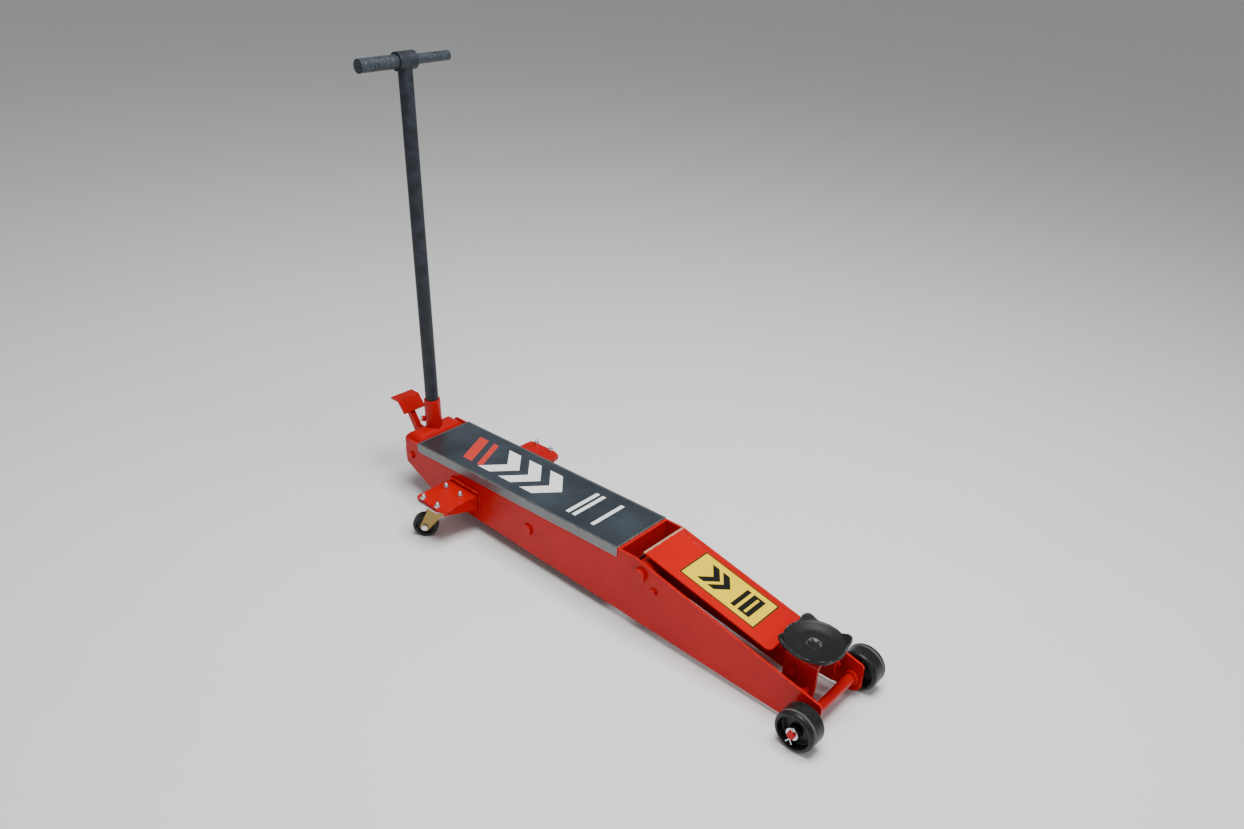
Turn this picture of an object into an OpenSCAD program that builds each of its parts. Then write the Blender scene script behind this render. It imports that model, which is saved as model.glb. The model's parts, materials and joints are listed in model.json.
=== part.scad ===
// Long-chassis workshop trolley jack, lift arm lowered, handle upright.
// Frame: +X from the handle towards the saddle, +Y the left side, +Z up, z = 0 the floor.
// The chassis is drawn in a deck frame: its origin is the front axle's centre, and it is turned by
// the chassis pitch so that the wheels and the casters stand on the same floor.
// Casters, their brackets, the saddle and its carrier are level with the floor.

/* [Chassis] */
// Outer width over the two side plates
chassis_w = 176; // [160:1:200]
// Thickness of a side plate
plate_t = 6; // [4:0.5:8]
// Distance from the front axle back to the rear edge of the side plates
rear_reach = 1280; // [1200:5:1400]
// Height of the side plates' straight top edge over the front axle
deck_h = 164; // [155:1:175]
// Distance from the front axle back to the bend in the top edge
bend_reach = 480; // [460:5:500]
// Rise of the chassis towards the front in degrees
chassis_pitch = 2.3; // [1.5:0.1:3]

/* [Cover] */
// Distance from the rear edge of the side plates to the cover's rear edge
cover_inset = 49; // [46:1:110]
// Distance from the front axle back to the cover's front edge
cover_front = 532; // [525:1:550]
// Sheet thickness of the cover
cover_t = 2; // [1.5:0.5:3]
// Depth of the cover's side flanges, top sheet included
cover_drop = 23; // [18:1:28]

/* [Front wheels] */
// Radius of a front wheel
wheel_r = 47; // [42:1:50]
// Width of a front wheel
wheel_w = 50; // [40:1:60]
// Gap between a side plate and its front wheel, filled by a washer
wheel_gap = 13; // [4:1:16]
// Radius of the front axle
axle_r = 9; // [8:0.5:10]
// Radius of the sleeve round the axle between the side plates
sleeve_r = 12; // [11.5:0.5:14]

/* [Lift arm] */
// Distance from the front axle back to the arm's pivot
pivot_reach = 462; // [450:1:470]
// Height of the arm's pivot over the front axle
pivot_h = 126; // [118:1:132]
// Length of the arm between its two pivots
arm_l = 393; // [370:1:400]
// Angle of the lowered arm below the deck in degrees
arm_rest = 10.85; // [10:0.05:12]
// Radius of the main pivot pin
main_pin_r = 14; // [12:0.5:15]
// Width of the arm's cover plate
arm_cover_w = 140; // [120:1:150]
// Radius at which the ram pushes the arm
lug_l = 75; // [70:1:80]
// Angle that the arm lifts through in degrees
lift_angle = 63; // [55:1:63]
// Radius of the ram pin
ram_pin_r = 10; // [8:0.5:11]

/* [Saddle] */
// Reach of a saddle lobe from the saddle's centre
lobe_reach = 80; // [76:1:90]
// Radius of the saddle's dish between its lobes
dish_r = 68; // [60:1:72]
// Radius of the round end of a lobe
lobe_r = 20; // [16:1:24]
// Height of the lobes over the saddle's underside
saddle_h = 28; // [24:1:32]
// Radius of the saddle's stem
stem_r = 15; // [12:0.5:16]
// Outer width of the saddle carrier
carrier_w = 90; // [86:1:96]

/* [Handle] */
// Outer radius of the handle tube
handle_r = 17.5; // [15:0.5:19]
// Height of the cross bar over the yoke pivot, along the handle
handle_l = 1001; // [850:1:1200]
// Backward lean of the handle from the deck's square in degrees
handle_lean = 2.5; // [0:0.1:4]
// Half length of the cross bar
bar_half = 132; // [110:1:160]
// Radius of the cross bar's thick half
grip_r = 16.5; // [14:0.5:17]
// Radius of the cross bar's thin half
bar_r = 12; // [10:0.5:13]
// Width of the foot pedal
pedal_w = 71; // [60:1:80]

/* [Casters] */
// Radius of a caster wheel
caster_r = 32; // [28:1:34]
// Width of a caster wheel
caster_w = 22; // [18:1:24]
// Distance of the caster wheel's axle from the swivel axis
caster_trail = 42; // [36:1:48]
// Reach of a caster bracket outside its swivel axis
bracket_edge = 45; // [41:1:60]
// Spacing of the caster bolts along the chassis
bolt_dx = 53; // [50:1:56]
// Spacing of the caster bolts across the chassis
bolt_dy = 74; // [70:1:76]

/* [Fits] */
// Radial clearance of a pin or shaft that turns
run_gap = 0.06; // [0.02:0.01:0.09]
// Gap between neighbouring faces that move past each other
side_gap = 0.4; // [0.3:0.1:0.6]
// Gap between the pump roller and the plunger's face
roller_gap = 1; // [0.8:0.1:1.5]

/* [Hidden] */
$fn = 64;

paint_red = [0.80, 0.07, 0.06];
bare_steel = [0.42, 0.47, 0.52];
zinc = [0.80, 0.82, 0.84];
yellow_zinc = [0.72, 0.62, 0.36];
cast_black = [0.07, 0.07, 0.08];
slate = [0.18, 0.20, 0.24];
machined = [0.62, 0.64, 0.66];

// Derived places in the deck frame, as [x, z] from the front axle
plate_out = chassis_w / 2;
plate_in = plate_out - plate_t;
rear_x = -rear_reach;
bend_x = -bend_reach;
nose_x = 24;
nose_h = 40;
belly_front = -37.3;
belly_rear = 44.2;
chamfer_l = 104;
chamfer_x = rear_x + chamfer_l;
function belly_z(x) = belly_front + (belly_rear - belly_front) * x / chamfer_x;
rear_edge = 69;
rear_low = deck_h - rear_edge;
pivot = [-pivot_reach, pivot_h];
arm_end = pivot + arm_l * [cos(arm_rest), -sin(arm_rest)];
link_offset = [39, -28];
anchor = pivot + link_offset;
link_end = arm_end + link_offset;
link_r = 7;
yoke_inset = 20;
yoke_drop = 45;
yoke_pivot = [rear_x + yoke_inset, deck_h - yoke_drop];
unit_reach = 439;
trunnion = yoke_pivot + [unit_reach, -36];
cylinder_pin_r = 10;
ram_aim = pivot - [0, 0.92 * lug_l];
ram_tilt = atan2(trunnion[1] - ram_aim[1], ram_aim[0] - trunnion[0]);
ram_dir = [cos(ram_tilt), -sin(ram_tilt)];
lug_half = lift_angle / 2;
lug = pivot + lug_l * [-sin(lug_half), -cos(lug_half)];
pin_s = (lug - trunnion) * ram_dir;
pin_h = (lug - trunnion) * [sin(ram_tilt), cos(ram_tilt)];
low_h = (pivot + [0, -lug_l] - trunnion) * [sin(ram_tilt), cos(ram_tilt)];
end_h = (pivot + lug_l * [sin(lug_half), -cos(lug_half)] - trunnion) * [sin(ram_tilt), cos(ram_tilt)];
yoke_pin_r = 8;
roller_r = 9;
roller_arm = 30;
pump_angle = 60;
roller_at = yoke_pivot + roller_arm * [-sin(pump_angle / 2), -cos(pump_angle / 2)];
roller_s = (roller_at - trunnion) * ram_dir;
plunger_h = (roller_at - trunnion) * [sin(ram_tilt), cos(ram_tilt)];
handle_offset = 6;
handle_foot = yoke_pivot - [handle_offset, 0];
pitch_c = cos(chassis_pitch);
pitch_s = sin(chassis_pitch);
function level(p) = [p[0] * pitch_c - p[1] * pitch_s, p[0] * pitch_s + p[1] * pitch_c + wheel_r];
bracket_h = 110;
bracket_t = 6;
caster_reach = 230;
caster_at = level([rear_x + caster_reach, bracket_h]);
caster_y = plate_out + caster_trail + caster_r + 1;
bracket_w = caster_y - plate_out + bracket_edge;
trail_angle = 40;
pad_rear = yoke_pivot + [-135, 105];
pad_t = 5;
x_rear = level(pad_rear + [0, pad_t])[0];
x_mid = (wheel_r + x_rear) / 2;

// Frames
module part_frame() { translate([-x_mid, 0, 0]) children(); }
module deck() { part_frame() translate([0, 0, wheel_r]) rotate([0, -chassis_pitch, 0]) children(); }
module at(p, y = 0) { translate([p[0], y, p[1]]) children(); }
module ram_frame() { deck() at(trunnion) rotate([0, ram_tilt, 0]) children(); }
module handle_frame() { deck() at(handle_foot) rotate([0, -handle_lean, 0]) children(); }
module carrier_frame() { part_frame() at(level(arm_end)) children(); }
module caster_frame(side) {
    part_frame() translate([caster_at[0], side * caster_y, 0])
        rotate([0, 0, side > 0 ? 180 - trail_angle : 180 + trail_angle]) children();
}
module both_sides() {
    children();
    mirror([0, 1, 0]) children();
}
// Flat outline in (x, z), thick from y0 to y1
module slab(y0, y1) { translate([0, y1, 0]) rotate([90, 0, 0]) linear_extrude(y1 - y0) children(); }
// Round bar or hole along Y
module bar(p, r, y0, y1) { at(p, y1) rotate([90, 0, 0]) cylinder(r = r, h = y1 - y0); }
// Round bar or hole along X
module rod(x0, x1, r) { translate([x0, 0, 0]) rotate([0, 90, 0]) cylinder(r = r, h = x1 - x0); }
module hex(across, h) { cylinder(r = across / sqrt(3), h = h, $fn = 6); }

// Outline with rounded corners, anticlockwise: radii holds one radius for each point, 0 for a sharp one
function unit(v) = v / norm(v);
function near(p, i) = p[(i + len(p)) % len(p)];
function ways(p, i) = [unit(near(p, i - 1) - p[i]), unit(near(p, i + 1) - p[i])];
function half_turn(w) = acos(w[0] * w[1]) / 2;
function cut_back(w, r) = r / tan(half_turn(w));
module rounded(points, radii) {
    polygon([
        for (i = [0 : len(points) - 1], k = [0 : (radii[i] > 0 ? 1 : 0)])
            let (w = ways(points, i)) radii[i] > 0 ? points[i] + w[k] * cut_back(w, radii[i]) : points[i]
    ]);
    for (i = [0 : len(points) - 1])
        if (radii[i] > 0)
            let (w = ways(points, i))
                translate(points[i] + unit(w[0] + w[1]) * radii[i] / sin(half_turn(w))) circle(radii[i]);
}

// ---- Chassis ----
nose_cut = 7;
function top_z(x) = nose_h + (nose_x - x) * (deck_h - nose_h) / (nose_x - bend_x);
module side_outline() {
    rounded(
        [
            [rear_x - 3, deck_h - 32], [rear_x, rear_low], [chamfer_x, belly_z(chamfer_x)], [0, belly_z(0)],
            [nose_x - nose_cut, -30], [nose_x, -18], [nose_x, nose_h - nose_cut],
            [nose_x - 2, nose_h - 2], [nose_x - nose_cut, top_z(nose_x - nose_cut)], [bend_x, deck_h],
            [rear_x, deck_h]
        ],
        [0, 6, 0, 0, 0, 0, 0, 0, 0, 0, 5]
    );
}
module side_plate(side) {
    color(paint_red) deck() mirror([0, side > 0 ? 0 : 1, 0]) difference() {
        slab(plate_in, plate_out) side_outline();
        bar([0, 0], axle_r + run_gap, plate_in - 1, plate_out + 1);
        bar(pivot, main_pin_r + run_gap, plate_in - 1, plate_out + 1);
        bar(anchor, link_r + run_gap, plate_in - 1, plate_out + 1);
        bar(trunnion, cylinder_pin_r + run_gap, plate_in - 1, plate_out + 1);
        bar(yoke_pivot, yoke_pin_r + run_gap, plate_in - 1, plate_out + 1);
    }
}

cover_rear = rear_x + cover_inset;
cover_l = -cover_front - cover_rear;
module top_cover() {
    color(bare_steel) deck() {
        translate([cover_rear, -plate_out - cover_t, deck_h]) cube([cover_l, chassis_w + 2 * cover_t, cover_t]);
        both_sides() slab(plate_out, plate_out + cover_t) polygon([
            [cover_rear, deck_h], [-cover_front, deck_h], [-cover_front, deck_h + cover_t - cover_drop],
            [cover_rear + 6, deck_h + cover_t - cover_drop], [cover_rear, deck_h + cover_t - cover_drop + 8]
        ]);
    }
}

strip_t = 10;
strip_depth = 58;
module cover_strip() {
    color(paint_red) deck() translate([-cover_front - 2, -plate_in, deck_h - strip_depth])
        cube([strip_t, 2 * plate_in, strip_depth]);
}

rear_plate_t = 6;
module rear_cross_plate() {
    color(paint_red) ram_frame() difference() {
        translate([block_rear + 5, -plate_in, block_low - rear_plate_t])
            cube([block_l - 10, 2 * plate_in, rear_plate_t]);
        unit_bolt_places() translate([0, 0, -rear_plate_t - 1]) cylinder(r = 5 + run_gap, h = rear_plate_t + 2);
    }
}

cross_tube_at = [-640, 28];
module mid_cross_tube() {
    color(paint_red) deck() difference() {
        bar(cross_tube_at, 12, -plate_in, plate_in);
        bar(cross_tube_at, 9, -plate_in - 1, plate_in + 1);
    }
}

// ---- Front axle and wheels ----
wheel_in = plate_out + wheel_gap;
wheel_out = wheel_in + wheel_w;
axle_half = wheel_out + 9;
pin_y = wheel_out + 5.5;
washer_r = 14;
pin_turn = 12;
pin_r = 1.5;
module front_axle() {
    color(paint_red) deck() difference() {
        bar([0, 0], axle_r, -axle_half, axle_half);
        both_sides() translate([0, pin_y, 0]) rotate([0, pin_turn, 0])
            cylinder(r = pin_r + run_gap, h = 2 * axle_r + 2, center = true);
    }
}
module axle_sleeve() {
    color(paint_red) deck() difference() {
        union() {
            bar([0, 0], sleeve_r, -plate_in, plate_in);
            both_sides() bar([0, 0], sleeve_r + 5, plate_in - 8, plate_in);
        }
        bar([0, 0], axle_r + run_gap, -plate_out, plate_out);
    }
}
module washer(y0, y1) {
    difference() {
        bar([0, 0], washer_r, y0, y1);
        bar([0, 0], axle_r + run_gap, y0 - 1, y1 + 1);
    }
}
module axle_washers() {
    color(zinc) deck() both_sides() {
        washer(plate_out, wheel_in - side_gap);
        washer(wheel_out + side_gap, wheel_out + 3.4);
    }
}
// A split pin: an eye above the axle, a straight shank and two opened legs below it
module split_pin() {
    shank = axle_r + 3;
    translate([0, 0, -shank]) cylinder(r = pin_r, h = 2 * shank);
    translate([0, 0, shank + 2.5]) rotate([90, 0, 0]) rotate_extrude() translate([3, 0]) circle(1.4, $fn = 24);
    for (turn = [-38, 26]) translate([0, 0, -shank]) rotate([0, 180 + turn, 0]) cylinder(r = 1.4, h = 13);
    translate([0, 0, -shank]) sphere(1.6);
}
module split_pins() {
    color(zinc) deck() {
        translate([0, pin_y, 0]) rotate([0, pin_turn, 0]) split_pin();
        translate([0, -pin_y, 0]) rotate([0, pin_turn, 0]) split_pin();
    }
}
// Half section of a cast wheel, as (radius, distance along the axle)
module wheel_section(r, w, bore, hub, web, rim) {
    h = w / 2;
    difference() {
        rounded(
            [[bore, -h], [r, -h], [r, h], [bore, h]],
            [0, w * 0.15, w * 0.15, 0]
        );
        for (side = [-1, 1]) scale([1, side]) rounded(
            [[hub, web], [rim - 3, web - 2], [rim, h + 9], [hub - 2, h + 9]],
            [2, 4, 0, 0]
        );
    }
}
module front_wheel(side) {
    color(cast_black) deck() translate([0, side * (wheel_in + wheel_out) / 2, 0]) rotate([-90, 0, 0])
        rotate_extrude($fn = 96) wheel_section(wheel_r, wheel_w, axle_r + run_gap, 15, 9, wheel_r - 8);
}

// ---- Caster brackets and casters ----
gusset_depth = 54;
bracket_x = [-50, 55];
module bracket_outline() {
    rounded(
        [
            [bracket_x[0], plate_out], [bracket_x[1], plate_out], [bracket_x[1], plate_out + bracket_w - 6],
            [bracket_x[1] - 22, plate_out + bracket_w + 1], [bracket_x[0] + 8, plate_out + bracket_w - 4],
            [bracket_x[0], plate_out + bracket_w - 10]
        ],
        [0, 0, 8, 30, 6, 0]
    );
}
module gusset_outline() {
    difference() {
        polygon([
            [plate_out, -1], [plate_out + bracket_w - 6, -1], [plate_out + bracket_w - 6, -12],
            [plate_out + 22, -38], [plate_out + 12, -gusset_depth], [plate_out, -gusset_depth]
        ]);
        translate([plate_out + 24, -50]) circle(12);
    }
}
module gusset(x0) {
    translate([x0, 0, 0]) rotate([90, 0, 90]) linear_extrude(bracket_t) gusset_outline();
}
module bolt_places() {
    for (dx = [-0.5, 0.5], dy = [-0.5, 0.5]) translate([dx * bolt_dx, caster_y + dy * bolt_dy, 0]) children();
}
module caster_bracket(side) {
    color(paint_red) part_frame() at(caster_at) mirror([0, side > 0 ? 0 : 1, 0]) difference() {
        union() {
            translate([0, 0, -bracket_t]) linear_extrude(bracket_t) bracket_outline();
            translate([bracket_x[0], plate_out, -1]) cube([bracket_x[1] - bracket_x[0], bracket_t, 9]);
            gusset(bracket_x[0]);
            gusset(bracket_x[1] - bracket_t);
        }
        bolt_places() translate([0, 0, -bracket_t - 1]) cylinder(r = 4 + run_gap, h = bracket_t + 2);
    }
}
caster_plate_t = 3;
plate_under = caster_at[1] - bracket_t;
swivel_top = plate_under - caster_plate_t - side_gap;
kingpin_r = 6;
race_h = 10;
crown_t = 4;
module caster_plates() {
    color(zinc) part_frame() both_sides() {
        difference() {
            translate([caster_at[0] - 38, caster_y - 49, plate_under - caster_plate_t])
                cube([76, 98, caster_plate_t]);
            at([caster_at[0], plate_under]) bolt_places()
                translate([0, 0, -caster_plate_t - 1]) cylinder(r = 4 + run_gap, h = caster_plate_t + 2);
        }
        translate([caster_at[0], caster_y, swivel_top - race_h - crown_t - 5])
            cylinder(r = kingpin_r, h = race_h + crown_t + 5 + side_gap);
        translate([caster_at[0], caster_y, swivel_top - race_h - crown_t - 5]) cylinder(r = 9, h = 5 - side_gap);
    }
}
module caster_bolts() {
    head_h = 5.3;
    bolt_top = 15;
    color(zinc) part_frame() at(caster_at) both_sides() bolt_places() {
        translate([0, 0, -bracket_t - caster_plate_t - head_h]) hex(13, head_h);
        translate([0, 0, -bracket_t - caster_plate_t]) cylinder(r = 4, h = bracket_t + caster_plate_t + bolt_top);
    }
}
module caster_nuts() {
    color(zinc) part_frame() at(caster_at) both_sides() bolt_places() difference() {
        hex(13, 6.5);
        translate([0, 0, -1]) cylinder(r = 4 + run_gap, h = 9);
    }
}
leg_t = 3;
leg_in = caster_w / 2 + 2;
crown_low = swivel_top - race_h - crown_t;
caster_axle_r = 5;
module leg_outline() {
    difference() {
        union() {
            polygon([
                [-22, crown_low + crown_t], [30, crown_low + crown_t], [caster_trail + 11.6, caster_r + 3],
                [caster_trail - 8.6, caster_r - 8.4]
            ]);
            translate([caster_trail, caster_r]) circle(12);
        }
        translate([caster_trail, caster_r]) circle(caster_axle_r + run_gap);
    }
}
module caster_fork(side) {
    color(yellow_zinc) caster_frame(side) {
        difference() {
            union() {
                translate([0, 0, swivel_top - race_h]) cylinder(r = 26, h = race_h);
                translate([-22, -leg_in - leg_t, crown_low]) cube([52, 2 * (leg_in + leg_t), crown_t]);
            }
            translate([0, 0, crown_low - 1]) cylinder(r = kingpin_r + run_gap, h = race_h + crown_t + 2);
        }
        both_sides() slab(leg_in, leg_in + leg_t) leg_outline();
    }
}
module caster_axle(side) {
    out = leg_in + leg_t;
    color(zinc) caster_frame(side) at([caster_trail, caster_r]) {
        bar([0, 0], caster_axle_r, -out - 6, out);
        translate([0, out + 5, 0]) rotate([90, 0, 0]) hex(15, 5);
        translate([0, -out, 0]) rotate([90, 0, 0]) hex(15, 5);
    }
}
module caster_wheel(side) {
    color(cast_black) caster_frame(side) at([caster_trail, caster_r]) rotate([-90, 0, 0])
        rotate_extrude() wheel_section(caster_r, caster_w, caster_axle_r + run_gap, 11, 5, caster_r - 7);
}

// ---- Fixed pins ----
module headed_pin(p, r, y0, y1, head_r, head_t) {
    bar(p, r, y0, y1);
    bar(p, head_r, y1, y1 + head_t);
}
module main_pivot_pin() {
    color(paint_red) deck() {
        bar(pivot, main_pin_r, -plate_out, plate_out);
        both_sides() bar(pivot, main_pin_r + 3, plate_out, plate_out + 9);
    }
}
link_side = 12;
link_t = 8;
link_y = [plate_in - link_side - link_t, plate_in - link_side];
module link_anchor_pins() {
    color(paint_red) deck() both_sides() headed_pin(anchor, link_r, link_y[0] - 4, plate_out, link_r + 2.5, 5);
}
module cylinder_pins() {
    color(paint_red) deck() both_sides()
        headed_pin(trunnion, cylinder_pin_r, tank_r + 4, plate_out, cylinder_pin_r + 5, 6);
}
module yoke_pins() {
    color(paint_red) deck() both_sides()
        headed_pin(yoke_pivot, yoke_pin_r, yoke_half - yoke_leg_t - 6, plate_out, yoke_pin_r + 1.5, 6);
}

// ---- Hydraulic unit ----
tank_r = 40;
tank_rear = -250;
tank_front = 50;
block_l = 90;
block_rear = tank_rear - block_l;
block_low = -48;
block_high = 44;
ram_r = 18;
barrel_r = 26;
plunger_r = 8;
module unit_bolt_places() {
    for (dx = [18, block_l - 18], dy = [-30, 30]) translate([block_rear + dx, dy, block_low]) children();
}
spindle_y = -30;
module pump_block() {
    color(cast_black) ram_frame() difference() {
        union() {
            translate([block_rear, -50, block_low]) cube([block_l, 100, block_high - block_low]);
            translate([0, 0, plunger_h]) rod(block_rear - 25, block_rear, 14);
        }
        translate([0, 0, plunger_h]) rod(block_rear - 26, block_rear + 75, plunger_r + run_gap);
        translate([0, spindle_y, plunger_h]) rod(block_rear - 1, block_rear + 30, 6 + run_gap);
        unit_bolt_places() translate([0, 0, -1]) cylinder(r = 5 + run_gap, h = 16);
    }
}
module oil_tank() {
    color(paint_red) ram_frame() difference() {
        union() {
            rod(tank_rear, tank_front, tank_r);
            rotate([90, 0, 0]) translate([0, 0, -tank_r - 14]) cylinder(r = 18, h = 2 * tank_r + 28);
        }
        rod(tank_rear - 1, tank_front + 1, tank_r - 4);
        both_sides() bar([0, 0], cylinder_pin_r + run_gap, tank_r, tank_r + 15);
        translate([-180, 0, 0]) cylinder(r = 6 + run_gap, h = tank_r + 1);
    }
}
module cylinder_barrel() {
    color(machined) ram_frame() difference() {
        rod(tank_rear, tank_front, barrel_r);
        rod(tank_rear + 20, tank_front + 1, ram_r + run_gap);
    }
}
gland_l = 22;
module cylinder_gland() {
    color(machined) ram_frame() difference() {
        union() {
            rod(tank_front, tank_front + gland_l - 6, tank_r);
            rod(tank_front, tank_front + gland_l, ram_r + 10);
        }
        rod(tank_front - 1, tank_front + gland_l + 1, ram_r + run_gap);
    }
}
module filler_plug() {
    color(zinc) ram_frame() translate([-180, 0, 0]) {
        translate([0, 0, tank_r - 4]) cylinder(r = 6, h = 6);
        translate([0, 0, tank_r + 0.5]) hex(14, 7);
    }
}
module unit_bolts() {
    color(zinc) ram_frame() unit_bolt_places() {
        translate([0, 0, -rear_plate_t - 6]) hex(15, 6);
        translate([0, 0, -rear_plate_t]) cylinder(r = 5, h = rear_plate_t + 14);
    }
}
module release_spindle() {
    color(zinc) ram_frame() translate([0, spindle_y, plunger_h]) {
        rod(block_rear - 34, block_rear + 28, 6);
        translate([block_rear - 42, -7, -3]) cube([10, 14, 6]);
    }
}

// ---- Pump plunger ----
plunger_face = roller_s + roller_r + roller_gap;
module pump_plunger() {
    color(machined) ram_frame() translate([0, 0, plunger_h]) {
        rod(plunger_face, block_rear + 40, plunger_r);
        rod(plunger_face, plunger_face + 5, 21);
    }
}
// Sleeve the size of the coil spring round the plunger
module plunger_spring() {
    color(zinc) ram_frame() translate([0, 0, plunger_h]) difference() {
        rod(plunger_face + 5, block_rear, 19);
        rod(plunger_face + 4, block_rear + 1, 15);
    }
}

// ---- Ram ----
module ram_rod() {
    color(machined) ram_frame() rod(-110, pin_s - 36, ram_r);
}
slot_gap = 1.8;
module ram_head() {
    slot_low = low_h - ram_pin_r - 2;
    slot_high = max(pin_h, end_h) + ram_pin_r + 2;
    slot_half = ram_pin_r + slot_gap;
    color(machined) ram_frame() difference() {
        translate([pin_s - 36, -24, slot_low - 9]) cube([36 + slot_half + 10, 48, slot_high - slot_low + 18]);
        translate([pin_s - slot_half, -25, slot_low]) cube([2 * slot_half, 50, slot_high - slot_low]);
    }
}
spring_y = 48;
spring_r = 7;
// Sleeves the size of the two return springs, from the trunnion bosses to the ram pin
module return_springs() {
    color(zinc) ram_frame() both_sides() translate([0, spring_y, pin_h]) difference() {
        rod(24, pin_s - ram_pin_r - 2, spring_r);
        rod(23, pin_s, spring_r - 2);
    }
}

// ---- Lift arm ----
cheek_in = 26;
cheek_t = 8;
hub_r = 27;
nose_r = 20;
cover_rise = 46;
cover_slope = 13.4;
arm_plate_t = 4;
arm_plate_rear = pivot + [-8, cover_rise];
arm_plate_l = arm_l - 34;
arm_plate_front = arm_plate_rear + (arm_plate_l - 6) * [cos(cover_slope), -sin(cover_slope)];
carrier_pin_r = 8;
module cheek_outline() {
    polygon([
        arm_plate_rear, arm_plate_front, arm_end + [6, nose_r - 2], arm_end + [-4, -nose_r + 1],
        pivot + [6, -hub_r + 1], pivot + [-hub_r + 1, 4]
    ]);
    polygon([pivot + [-hub_r + 2, 6], lug + [-17, 3], lug + [16, -7], pivot + [hub_r - 2, -8]]);
    translate(pivot) circle(hub_r);
    translate(arm_end) circle(nose_r);
    translate(lug) circle(18);
}
module lift_arm() {
    color(paint_red) deck() difference() {
        union() {
            both_sides() slab(cheek_in, cheek_in + cheek_t) cheek_outline();
            bar(pivot, hub_r, -plate_in + 4, plate_in - 4);
            bar(arm_end, nose_r, -cheek_in, cheek_in);
        }
        bar(pivot, main_pin_r + run_gap, -plate_out, plate_out);
        bar(arm_end, carrier_pin_r + run_gap, -plate_out, plate_out);
        bar(lug, ram_pin_r + run_gap, -plate_out, plate_out);
    }
}
module arm_cover() {
    half = arm_cover_w / 2;
    color(paint_red) deck() at(arm_plate_rear) rotate([0, cover_slope, 0]) linear_extrude(arm_plate_t)
        rounded([[0, -half], [arm_plate_l, -half], [arm_plate_l, half], [0, half]], [0, 14, 14, 0]);
}
module ram_pin() {
    color(machined) deck() bar(lug, ram_pin_r, -spring_y - spring_r, spring_y + spring_r);
}

// ---- Levelling links ----
module level_link(side) {
    color(paint_red) deck() mirror([0, side > 0 ? 0 : 1, 0]) at(anchor) rotate([0, arm_rest, 0]) difference() {
        union() {
            slab(link_y[0], link_y[1]) translate([0, -10]) square([arm_l, 20]);
            bar([0, 0], 14, link_y[0], link_y[1]);
            bar([arm_l, 0], 14, link_y[0], link_y[1]);
        }
        bar([0, 0], link_r + run_gap, link_y[0] - 1, link_y[1] + 1);
        bar([arm_l, 0], link_r + run_gap, link_y[0] - 1, link_y[1] + 1);
    }
}

// ---- Saddle carrier ----
carrier_x = [-23, 56];
carrier_top = 47;
carrier_low = -45;
carrier_t = 8;
carrier_half = carrier_w / 2;
function turned(p, a) = [p[0] * cos(a) - p[1] * sin(a), p[0] * sin(a) + p[1] * cos(a)];
link_local = turned(link_offset, chassis_pitch);
module carrier_section() {
    difference() {
        rounded(
            [
                [-carrier_half, carrier_low], [carrier_half, carrier_low], [carrier_half, carrier_top],
                [-carrier_half, carrier_top]
            ],
            [0, 0, 14, 14]
        );
        rounded(
            [
                [-carrier_half + carrier_t, carrier_low - 1], [carrier_half - carrier_t, carrier_low - 1],
                [carrier_half - carrier_t, carrier_top - carrier_t],
                [-carrier_half + carrier_t, carrier_top - carrier_t]
            ],
            [0, 0, 14, 14]
        );
    }
}
module saddle_carrier() {
    mid = (carrier_x[0] + carrier_x[1]) / 2;
    color(paint_red) carrier_frame() difference() {
        translate([carrier_x[0], 0, 0]) rotate([90, 0, 90]) linear_extrude(carrier_x[1] - carrier_x[0])
            carrier_section();
        bar([0, 0], carrier_pin_r + run_gap, -carrier_w, carrier_w);
        bar(link_local, link_r + run_gap, -carrier_w, carrier_w);
        translate([mid, 0, carrier_top - carrier_t - 1]) cylinder(r = stem_r + run_gap, h = carrier_t + 2);
    }
}
module carrier_bolt() {
    color(paint_red) carrier_frame() {
        bar([0, 0], carrier_pin_r, -carrier_half, carrier_half + 12);
        bar([0, 0], 11, -carrier_half - 6, -carrier_half);
    }
}
module carrier_nut() {
    color(zinc) carrier_frame() translate([0, carrier_half + 9, 0]) rotate([90, 0, 0]) difference() {
        hex(22, 9);
        translate([0, 0, -1]) cylinder(r = carrier_pin_r + run_gap, h = 11);
    }
}
module link_pins() {
    color(paint_red) carrier_frame() both_sides()
        headed_pin(link_local, link_r, carrier_half - carrier_t, link_y[1] + 1, link_r + 2.5, 4);
}

// ---- Saddle ----
saddle_x = (carrier_x[0] + carrier_x[1]) / 2;
saddle_low = carrier_top + side_gap;
module saddle_outline() {
    circle(dish_r);
    for (a = [45 : 90 : 315]) rotate(a) {
        translate([lobe_reach - lobe_r, 0]) circle(lobe_r);
        translate([0, -lobe_r]) square([lobe_reach - lobe_r, 2 * lobe_r]);
    }
}
module dish_section() {
    polygon([
        [0, 0], [34, 0], [58, 5], [lobe_reach + 4, saddle_h - 7], [lobe_reach + 4, saddle_h + 2],
        [lobe_reach - 2, saddle_h], [62, 15], [40, 9], [14, 8], [13, 4], [0, 4]
    ]);
}
module saddle() {
    color(cast_black) carrier_frame() translate([saddle_x, 0, saddle_low]) {
        intersection() {
            linear_extrude(saddle_h) saddle_outline();
            rotate_extrude() dish_section();
        }
        translate([0, 0, -carrier_t - 6]) cylinder(r = stem_r, h = carrier_t + 6);
    }
}
module saddle_clip() {
    color(zinc) carrier_frame() translate([saddle_x, 0, carrier_top - carrier_t - side_gap - 4]) difference() {
        cylinder(r = stem_r + 5, h = 4);
        translate([0, 0, -1]) cylinder(r = stem_r + run_gap, h = 6);
    }
}

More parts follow.
